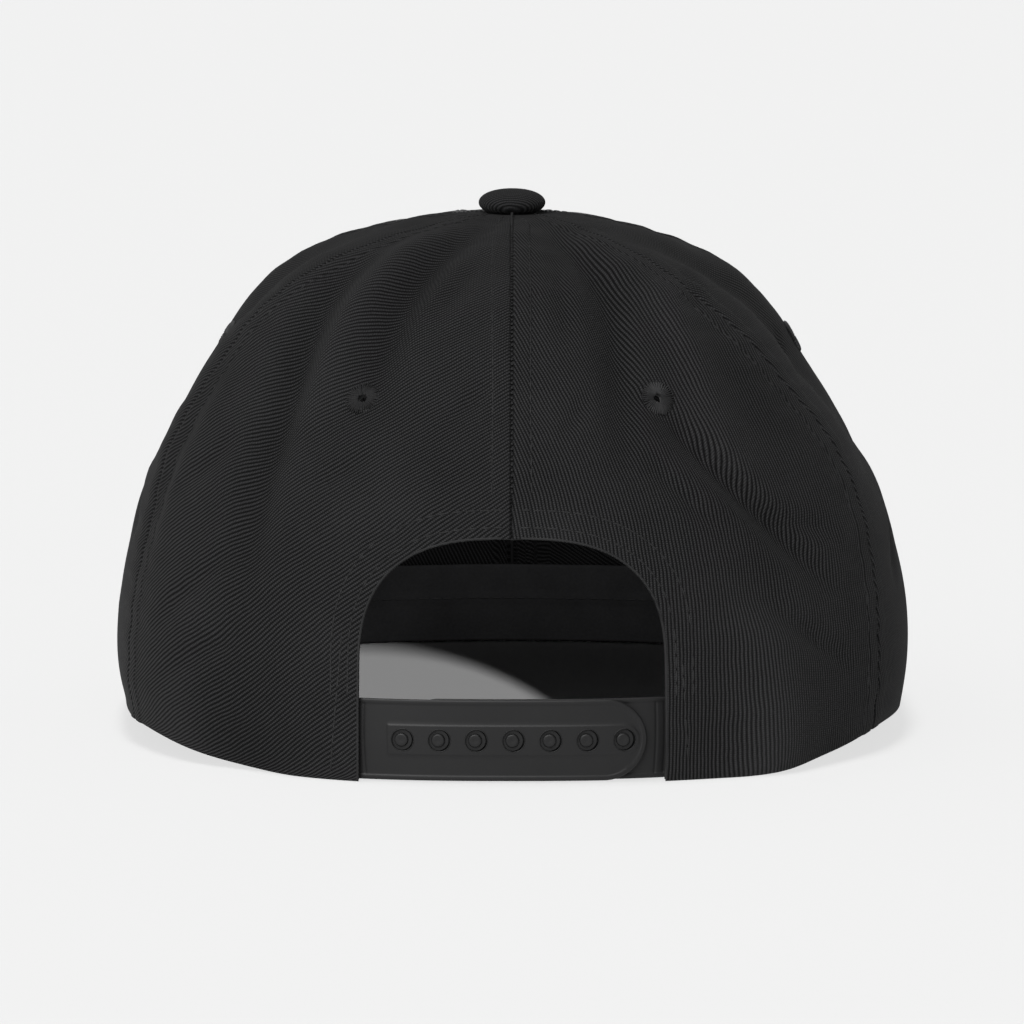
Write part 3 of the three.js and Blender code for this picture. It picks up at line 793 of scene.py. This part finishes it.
def makeArchEdge():  # the folded edge of the cloth round the opening
    look = {"radius": 0.34, "inset": 0.24, "depth": 0.26}
    x, height = archOutline(look["inset"], 0.45)
    points, normals = crownLine(*backPlace(x, height), -look["depth"])
    edge = tubeAlong("arch_edge", points, look["radius"], 3, blackThread)
    finishPiece(edge, "twill")


makeSeamStitches()
makeSeamThreads()
makeArchStitches()
makeArchEdge()
print("stitches done")


def makeEyelet(name):
    angle, rise = (np.array(float(value)) for value in eyelets[name])
    thickness = crown["frontThickness"] if name.startswith("front") else crown["thickness"]
    normal = clothNormal(angle, rise)
    centre = clothPoint(angle, rise)
    across = unit(np.cross([0, 0, 1.0], normal))
    upright = np.cross(normal, across)
    bm = bmesh.new()
    middle = (eyelet["outer"] + eyelet["hole"]) / 2
    half = (eyelet["outer"] - eyelet["hole"]) / 2 - 0.1
    profile = []
    for step in range(16):  # rounded ring that fills the cloth's hole
        turn = 2 * math.pi * step / 16
        depth = -thickness / 2 + (thickness / 2 + eyelet["stand"] * 0.1) * math.sin(turn)
        profile.append(bm.verts.new((middle + half * math.cos(turn), 0, depth)))
    for first, second in zip(profile, profile[1:] + profile[:1]):
        bm.edges.new((first, second))
    bmesh.ops.spin(
        bm, geom=list(bm.edges), cent=(0, 0, 0), axis=(0, 0, 1), angle=2 * math.pi, steps=40, use_merge=True,
    )
    bmesh.ops.remove_doubles(bm, verts=bm.verts, dist=1e-4)
    bmesh.ops.recalc_face_normals(bm, faces=bm.faces)
    turn = axesMatrix(across * mm, upright * mm, normal * mm, toMetres(centre))
    bmesh.ops.transform(bm, verts=bm.verts, matrix=turn)
    thing = fromBmesh("satin_eyelet_" + name, bm, satinThread)
    chance = random.Random(name)
    frames = []
    for strand in range(eyelet["strands"]):
        turn = 2 * math.pi * (strand + chance.uniform(-0.2, 0.2)) / eyelet["strands"]
        inner = eyelet["hole"] + chance.uniform(-0.28, 0.12)
        outer = eyelet["outer"] + chance.uniform(-0.12, 0.18)
        out = across * math.cos(turn) + upright * math.sin(turn)
        side = upright * math.cos(turn) - across * math.sin(turn)
        middle = centre + out * (outer + inner) / 2 + normal * (eyelet["stand"] * 0.5 - 0.02)
        frames.append([side * 0.23 * mm, normal * 0.5 * mm, out * (outer - inner) / 2 * mm, toMetres(middle)])
    joinTo(thing, strandMesh("strands", np.array(frames)))
    smoothMesh(thing, 60)
    finishPiece(thing, "thread", "eyelet_" + name)


for name in eyelets:
    makeEyelet(name)
print("eyelets done")


def makeButton():
    look = {"radius": 7.9, "height": 5.4, "shank": 3.7, "steps": 96, "arc": 22}
    seat = crown["height"] + crown["fitGap"]
    outline = [(0, crown["height"] - 2.2), (look["shank"], crown["height"] - 2.2), (look["shank"], seat),
               (look["radius"] * 0.78, seat + 0.1)]
    for step in range(look["arc"] + 1):
        turn = math.radians(-42 + 132 * step / look["arc"])
        rise = 0.40 + 0.60 * math.sin(turn)
        outline.append((look["radius"] * math.cos(turn) ** 0.88, seat + look["height"] * rise))
    outline[-1] = (0, outline[-1][1])
    bm = bmesh.new()
    points = [bm.verts.new((across, 0, height)) for across, height in outline]
    for first, second in zip(points, points[1:]):
        bm.edges.new((first, second))
    bmesh.ops.spin(
        bm, geom=list(bm.edges), cent=(0, 0, 0), axis=(0, 0, 1), angle=2 * math.pi,
        steps=look["steps"], use_merge=True,
    )
    bmesh.ops.remove_doubles(bm, verts=bm.verts, dist=1e-4)
    bmesh.ops.recalc_face_normals(bm, faces=bm.faces)
    layer = bm.loops.layers.uv.new("cloth")
    top = outline[-1][1]
    for face in bm.faces:
        for loop in face.loops:
            x, y, z = loop.vert.co
            out = math.hypot(x, y)
            stretched = (out + 1.1 * (top - z)) / max(out, 1e-6)
            loop[layer].uv = (x * stretched * mm, y * stretched * mm)
    bmesh.ops.transform(bm, verts=bm.verts, matrix=Matrix.Translation(crownCentre) @ Matrix.Scale(mm, 4))
    thing = fromBmesh("covered_button", bm, blackTwill)
    smoothMesh(thing, 50)
    finishPiece(thing, "twill", "top_button")


makeButton()

strap = {
    "height": 18.4, "thickness": 1.2, "lift": 0.3, "tuck": 9.0, "tip": 30.2, "innerEnd": 25.5,
    "snaps": 7, "pitch": 8.25, "first": -24.4, "hole": 2.45, "peg": 1.55, "pegStand": 0.22, "pegOff": -0.3,
    "border": 1.1, "borderRaise": 0.12, "strip": 3.4, "stripRaise": 0.16, "stripStart": -27.8,
    "lineRaise": -0.1, "ring": 2.55, "ringThick": 0.1, "ringHigh": 0.08, "collar": 2.36, "collarDepth": 0.42,
}
strapMiddle = strap["lift"] + strap["height"] / 2
strapRowEdges = [0, 0.12, 0.3, 0.6, 0.95, 1.1, 1.25, 1.5, 2.2, 3.0, 3.9, 4.8, 5.5, 5.8, 5.95, 6.1, 6.4, 7.1, 8.0]
strapRowPlaces = np.array(strapRowEdges + [strap["height"] - edge for edge in strapRowEdges[::-1]]) / strap["height"]


def softBand(distance, edge, soft=0.22):
    return 1 - smoothStep(distance, edge - soft / 2, edge + soft / 2)


def strapRelief(x, z, start, end, stripped, lines):
    half = strap["height"] / 2
    across = np.abs(z - strapMiddle)
    direction = math.copysign(1, end - start)
    ahead = (x - end) * direction + half
    edge = np.where(ahead > 0, half - np.hypot(np.maximum(ahead, 0), across), half - across)
    edge = np.maximum(edge, 0)
    relief = strap["borderRaise"] * softBand(edge, strap["border"])
    relief = relief - 0.22 * (1 - np.minimum(edge / 0.3, 1)) ** 2
    if stripped:
        last = strap["first"] + (strap["snaps"] - 1) * strap["pitch"]
        out = np.where(x > last, np.hypot(x - last, across), np.maximum(across, strap["stripStart"] - x + strap["strip"]))
        relief = relief + strap["stripRaise"] * softBand(out, strap["strip"], 0.36)
    for line in lines:
        inside = softBand(-edge, -strap["border"])
        relief = relief + strap["lineRaise"] * np.exp(-((x - line) / 0.22) ** 2) * inside
    return relief


def makeStrapBody(name, start, end, inset, stripped, lines):
    half = strap["height"] / 2
    direction = math.copysign(1, end - start)
    straight = abs(end - start) - half
    columns, tipShare = 380, 0.3

    def place(across, up):
        run = across if direction > 0 else 1 - across
        share = run * (1 + tipShare)
        x = np.where(share < 1, straight * share,
                     straight + half * np.sin(np.clip((share - 1) / tipShare, 0, 1) * math.pi / 2))
        gone = np.clip((x - straight) / half, 0, 1)
        fullness = np.maximum(np.sqrt(np.maximum(1 - gone ** 2, 0)), 0.02)
        x = start + direction * x
        level = np.interp(up * (len(strapRowPlaces) - 1), np.arange(len(strapRowPlaces)), strapRowPlaces)
        z = strapMiddle + half * fullness * (2 * level - 1)
        relief = strapRelief(x, z, start, end, stripped, lines)
        angle = angleAcross(x)
        return wallPoint(angle, z, inset - relief), np.stack([x, z], -1)

    thing = clothGrid(name, columns, len(strapRowPlaces) - 1, place, blackPlastic)
    thicken(thing, strap["thickness"])
    return thing


def snapFrames(inset):
    x = strap["first"] + strap["pitch"] * np.arange(strap["snaps"])
    angle = angleAcross(x)
    height = np.full_like(x, strapMiddle)
    centre = wallPoint(angle, height, inset)
    out = unit(wallPoint(angle, height, inset - 1) - centre)
    side = np.cross([0, 0, 1.0], out)
    return list(zip(centre, out, side))


def spinProfile(bm, profile, matrix, steps):
    made = [bm.verts.new((across, 0, height)) for across, height in profile]
    edges = [bm.edges.new(pair) for pair in zip(made, made[1:])]
    if profile[0] != profile[-1] and profile[0][0] > 0:
        edges.append(bm.edges.new((made[-1], made[0])))
    before = set(bm.faces)
    bmesh.ops.spin(bm, geom=edges, cent=(0, 0, 0), axis=(0, 0, 1), angle=2 * math.pi, steps=steps, use_merge=True)
    faces = [face for face in bm.faces if face not in before]
    verts = list({vert for face in faces for vert in face.verts})
    bmesh.ops.remove_doubles(bm, verts=verts, dist=1e-4)
    faces = [face for face in bm.faces if face not in before]
    bmesh.ops.recalc_face_normals(bm, faces=faces)
    bmesh.ops.transform(bm, verts=list({vert for face in faces for vert in face.verts}), matrix=matrix)


def makeStraps():
    outerInset = crown["thickness"] + crown["fitGap"]
    innerInset = outerInset + strap["thickness"] + crown["fitGap"]
    tucked = arch["width"] / 2 + strap["tuck"]
    holed = makeStrapBody("strap_with_snap_holes", -tucked, strap["tip"], outerInset, True, (-33.2,))
    cutters = bmesh.new()
    rings = bmesh.new()
    for centre, out, side in snapFrames(outerInset):
        matrix = axesMatrix(-side * mm, np.array([0, 0, mm]), out * mm, toMetres(centre))
        bmesh.ops.create_cone(
            cutters, cap_ends=True, segments=48, radius1=strap["hole"], radius2=strap["hole"], depth=8, matrix=matrix,
        )
        profile = []
        for step in range(10):
            turn = 2 * math.pi * step / 10
            profile.append((strap["ring"] + strap["ringThick"] * math.cos(turn),
                            strap["stripRaise"] + 0.01 + strap["ringHigh"] * math.sin(turn)))
        spinProfile(rings, profile, matrix, 48)
    cutWith(holed, cutters)
    joinTo(holed, bmeshMesh("rings", rings))
    smoothMesh(holed, 50)
    finishPiece(holed, "strap", "strap_with_holes")

    pegged = makeStrapBody("strap_with_snap_pegs", tucked, -strap["innerEnd"], innerInset, False, (32.7, 34.7))
    applyModifiers(pegged)
    pegs = bmesh.new()
    reach = strap["thickness"] + crown["fitGap"] + strap["pegStand"]
    for centre, out, side in snapFrames(innerInset):
        matrix = axesMatrix(-side * mm, np.array([0, 0, mm]), out * mm, toMetres(centre + side * strap["pegOff"]))
        base = strap["thickness"] + crown["fitGap"] - strap["collarDepth"]
        profile = [(0.0, -0.3), (strap["collar"], -0.3), (strap["collar"], base), (strap["peg"], base),
                   (strap["peg"], reach - 0.45)]
        for step in range(1, 6):
            turn = math.pi / 2 * step / 5
            profile.append((strap["peg"] - 0.45 + 0.45 * math.cos(turn), reach - 0.45 + 0.45 * math.sin(turn)))
        profile += [(0.45, reach - 0.06), (0.0, reach - 0.1)]
        spinProfile(pegs, profile, matrix, 32)
    joinTo(pegged, bmeshMesh("pegs", pegs))
    smoothMesh(pegged, 50)
    finishPiece(pegged, "strap", "strap_with_pegs")


makeStraps()
print("strap done")


def makeSweatband():
    look = {"height": 19.6, "thickness": 1.2, "ease": 26.0, "columns": 300, "rows": 22, "stitch": 11.0}
    endAngle = float(angleAcross(arch["width"] / 2 + crown["thickness"]))
    coverAngle = float(angleAcross(arch["width"] / 2 + strap["tuck"]))
    deep = crown["thickness"] + 2 * strap["thickness"] + 3 * crown["fitGap"]

    def bandPoint(share, up, extra):
        angle = endAngle + (360 - 2 * endAngle) * share
        signed = np.where(angle > 180, angle - 360, angle)
        away = smoothStep(np.abs(signed), coverAngle, coverAngle + look["ease"])
        inset = deep + (crown["frontThickness"] + crown["fitGap"] - deep) * away
        raised = 1 - 0.96 * smoothStep(np.abs(signed), brimAngle + 2, brimAngle + 16)  # low behind the brim's end
        height = rimLift(signed) * raised + crown["fitGap"] + up * look["height"]
        soft = 0.5 * np.sin(share * 61 + 2 * np.sin(share * 23)) * up + 0.12 * np.sin(share * 310) * up
        pinch = 0.35 * np.exp(-((up * look["height"] - look["stitch"]) / 0.8) ** 2)
        return wallPoint(signed, height, inset + extra + np.maximum(soft, -0.2) + pinch)

    def place(across, up):
        points = bandPoint(across, up, 0.0)
        return points, np.stack([across * 520, up * look["height"]], -1)

    thing = clothGrid("cloth_sweatband", look["columns"], look["rows"], place, blackBand)
    thicken(thing, look["thickness"])
    soften = thing.modifiers.new("edge", "BEVEL")
    soften.width = 0.45 * mm
    soften.segments = 3
    soften.limit_method = "ANGLE"
    soften.angle_limit = math.radians(50)
    applyModifiers(thing)
    smoothMesh(thing, 50)
    finishPiece(thing, "band", "sweatband")
    share = np.linspace(0.01, 0.99, 500)
    level = look["stitch"] / look["height"]
    points = bandPoint(share, share * 0 + level, look["thickness"])
    inward = unit(points - bandPoint(share, share * 0 + level, 0.0))
    makeStitches("band_stitches", [(points, inward)])


makeSweatband()


def makeBrim():
    def outerEdge(turn, inward):
        across = np.sign(np.sin(turn)) * np.abs(np.sin(turn)) ** (2 / brim["power"])
        along = np.abs(np.cos(turn)) ** (2 / brim["power"])
        reach = crown["frontReach"] + brim["projection"] - brim["start"] - inward
        return across * (brim["width"] / 2 - inward), brim["start"] + along * reach

    rows = brim["firstRow"] + brim["rowPitch"] * np.arange(brim["stitchRows"])

    def place(across, up):
        # rows run from the outer edge inwards
        side = 2 * across - 1
        inner = wallPoint(180 - side * (180 - brimAngle), brimTop(0.0) + crown["fitGap"], crown["frontThickness"])
        x, y = outerEdge(side * math.pi / 2, 0.0)
        points = inner + (np.stack([x, y, 0 * x], -1) - inner) * up[..., None]
        points[..., 2] = brimTop(points[..., 0])
        turn = math.radians(38)
        laid = np.stack([points[..., 0] * math.cos(turn) + points[..., 1] * math.sin(turn),
                         points[..., 1] * math.cos(turn) - points[..., 0] * math.sin(turn)], -1)
        return points, laid

    thing = clothGrid("cloth_brim", brim["columns"], brim["rows"], place, blackTwill)
    thicken(thing, brim["thickness"], -1)
    full = thing.vertex_groups.new(name="full")  # the brim thins out towards its ends
    for corner in thing.data.vertices:
        forward = (corner.co.y - crownCentre[1]) / mm - brim["start"]
        full.add([corner.index], 0.3 + 0.7 * float(smoothStep(forward, 0, brim["taper"])), "REPLACE")
    thing.modifiers["wall"].vertex_group = "full"
    edge = thing.modifiers.new("edge", "BEVEL")
    edge.width = brim["edge"] * mm
    edge.segments = 4
    edge.limit_method = "ANGLE"
    edge.angle_limit = math.radians(50)
    applyModifiers(thing)
    layer = thing.data.uv_layers["cloth"].data
    for face in thing.data.polygons:
        if abs(face.normal.z) < 0.8:  # the cloth runs round the outer edge
            for corner in face.loop_indices:
                x, y, z = thing.data.vertices[thing.data.loops[corner].vertex_index].co
                run = 0.1 * math.atan2(x, y - crownCentre[1])
                layer[corner].uv = (run + z, run - z)
    smoothMesh(thing, 50)
    finishPiece(thing, "twill", "brim")

    for name, level, way in (("brim_stitches_top", 0.02, 1), ("brim_stitches_under", -brim["thickness"] - 0.02, -1)):
        lines = []
        for row in rows:
            turn = np.linspace(-math.pi / 2, math.pi / 2, 400)
            x, y = outerEdge(turn, row)
            angle = np.degrees(np.arctan2(x, -y))
            foot = wallPoint(angle, brimTop(0.0) + 1, -1.5)
            clear = np.hypot(x, y) > np.linalg.norm(foot[..., :2], axis=-1)
            if clear.sum() < 10:
                continue
            points = np.stack([x, y, brimTop(x) + level], -1)[clear]
            lines.append((points, np.tile([0, 0, float(way)], (len(points), 1))))
        makeStitches(name, lines)


makeBrim()
print("brim and sweatband done")


def makeFloor():
    bm = bmesh.new()
    bmesh.ops.create_grid(bm, x_segments=1, y_segments=1, size=14)
    material, tree, shader = newMaterial("paleFloor")
    shader.inputs["Base Color"].default_value = (0.3, 0.3, 0.3, 1)
    shader.inputs["Roughness"].default_value = 0.9
    shader.inputs["Specular IOR Level"].default_value = 0.1
    floor = fromBmesh("floor", bm, material)
    under, underTree, underShader = newMaterial("paleFloorInside")
    underShader.inputs["Base Color"].default_value = (0.88, 0.88, 0.88, 1)
    underShader.inputs["Roughness"].default_value = 0.9
    inside = bmesh.new()
    bmesh.ops.create_circle(inside, cap_ends=True, segments=128, radius=1)
    for corner in inside.verts:  # the floor under the cap, just within its rim
        turn = math.degrees(math.atan2(corner.co.x, -corner.co.y))
        inset = 11 - 15 * float(smoothStep(abs(turn), 110, 135))
        foot = toMetres(wallPoint(turn, float(rimLift(turn)) + 0.01, inset))
        corner.co = (foot[0], foot[1], 0.0001)
    inner = fromBmesh("floor_inside", inside, under)
    return floor, inner


def addSun(name, toward, strength, spread):
    data = bpy.data.lights.new(name, "SUN")
    data.energy = strength
    data.angle = math.radians(spread)
    light = bpy.data.objects.new(name, data)
    light.rotation_euler = Vector(toward).to_track_quat("-Z", "Y").to_euler()
    scene.collection.objects.link(light)
    return light


def linkLight(lamp, name, lit, shadows=True):  # what a light reaches
    reached = bpy.data.collections.new(name + "_reaches")
    for thing in lit:
        reached.objects.link(thing)
    lamp.light_linking.receiver_collection = reached
    if not shadows:  # only the lit things themselves may block it
        lamp.light_linking.blocker_collection = reached


def addFill(name, strength, lit):  # faint light inside the crown
    data = bpy.data.lights.new(name, "POINT")
    data.energy = strength
    data.shadow_soft_size = light["fillSize"]
    fill = bpy.data.objects.new(name, data)
    fill.location = (0, crownCentre[1], 0.075)
    fill.visible_camera = False
    scene.collection.objects.link(fill)
    linkLight(fill, name, lit)


light = {
    "key": 3.8, "keyWay": (0.27, 0.76, -0.64), "keySpread": 40,
    "front": 2.8, "frontWay": (0.12, -0.88, -0.42), "frontSpread": 30,
    "low": 2.9, "lowWay": (-46, 185, -54), "lowSpread": 3,
    "floor": 1.3, "floorWay": (0.05, -0.06, -1), "floorSpread": 14, "floorEven": 7.35, 
    "bandFill": 0.25, "panelFill": 0.1, "fillSize": 0.03,
    "worldLeft": 0.34, "worldRight": 0.08,
}
floor, innerFloor = makeFloor()
cap = [thing for thing in scene.objects if thing.type == "MESH" and thing not in (floor, innerFloor)]
keyLight = addSun("key_light", light["keyWay"], light["key"], light["keySpread"])
linkLight(keyLight, "key_light", cap)
frontLight = addSun("front_light", light["frontWay"], light["front"], light["frontSpread"])
ahead = [thing for thing in cap if "front" in thing.name or "brim" in thing.name]
linkLight(frontLight, "front_light", ahead)
lowLight = addSun("low_light", light["lowWay"], light["low"], light["lowSpread"])
linkLight(lowLight, "low_light", [innerFloor])
floorLight = addSun("floor_light", light["floorWay"], light["floor"], light["floorSpread"])
linkLight(floorLight, "floor_light", [floor])
evenLight = addSun("floor_even_light", (0, 0, -1), light["floorEven"], 20)  # keeps the floor's shadow faint
linkLight(evenLight, "floor_even_light", [floor], False)
inBand = [thing for thing in cap if thing.name in ("cloth_sweatband", "band_stitches")]
addFill("band_fill", light["bandFill"], inBand)
addFill("panel_fill", light["panelFill"], [thing for thing in cap if thing not in inBand])
world = bpy.data.worlds.new("studio")
world.use_nodes = True
sky = world.node_tree
around = addNode(sky, "ShaderNodeTexCoord").outputs["Generated"]
sideways = addNode(sky, "ShaderNodeSeparateXYZ", {"Vector": around}).outputs["X"]
middle = (light["worldLeft"] + light["worldRight"]) / 2
slope = (light["worldRight"] - light["worldLeft"]) / 2
sky.links.new(calc(sky, "MULTIPLY_ADD", sideways, slope, middle), sky.nodes["Background"].inputs["Strength"])
sky.nodes["Background"].inputs["Color"].default_value = (1, 1, 1, 1)
scene.world = world
scene.view_settings.view_transform = "Standard"
scene.view_settings.look = "None"
print("stage done")
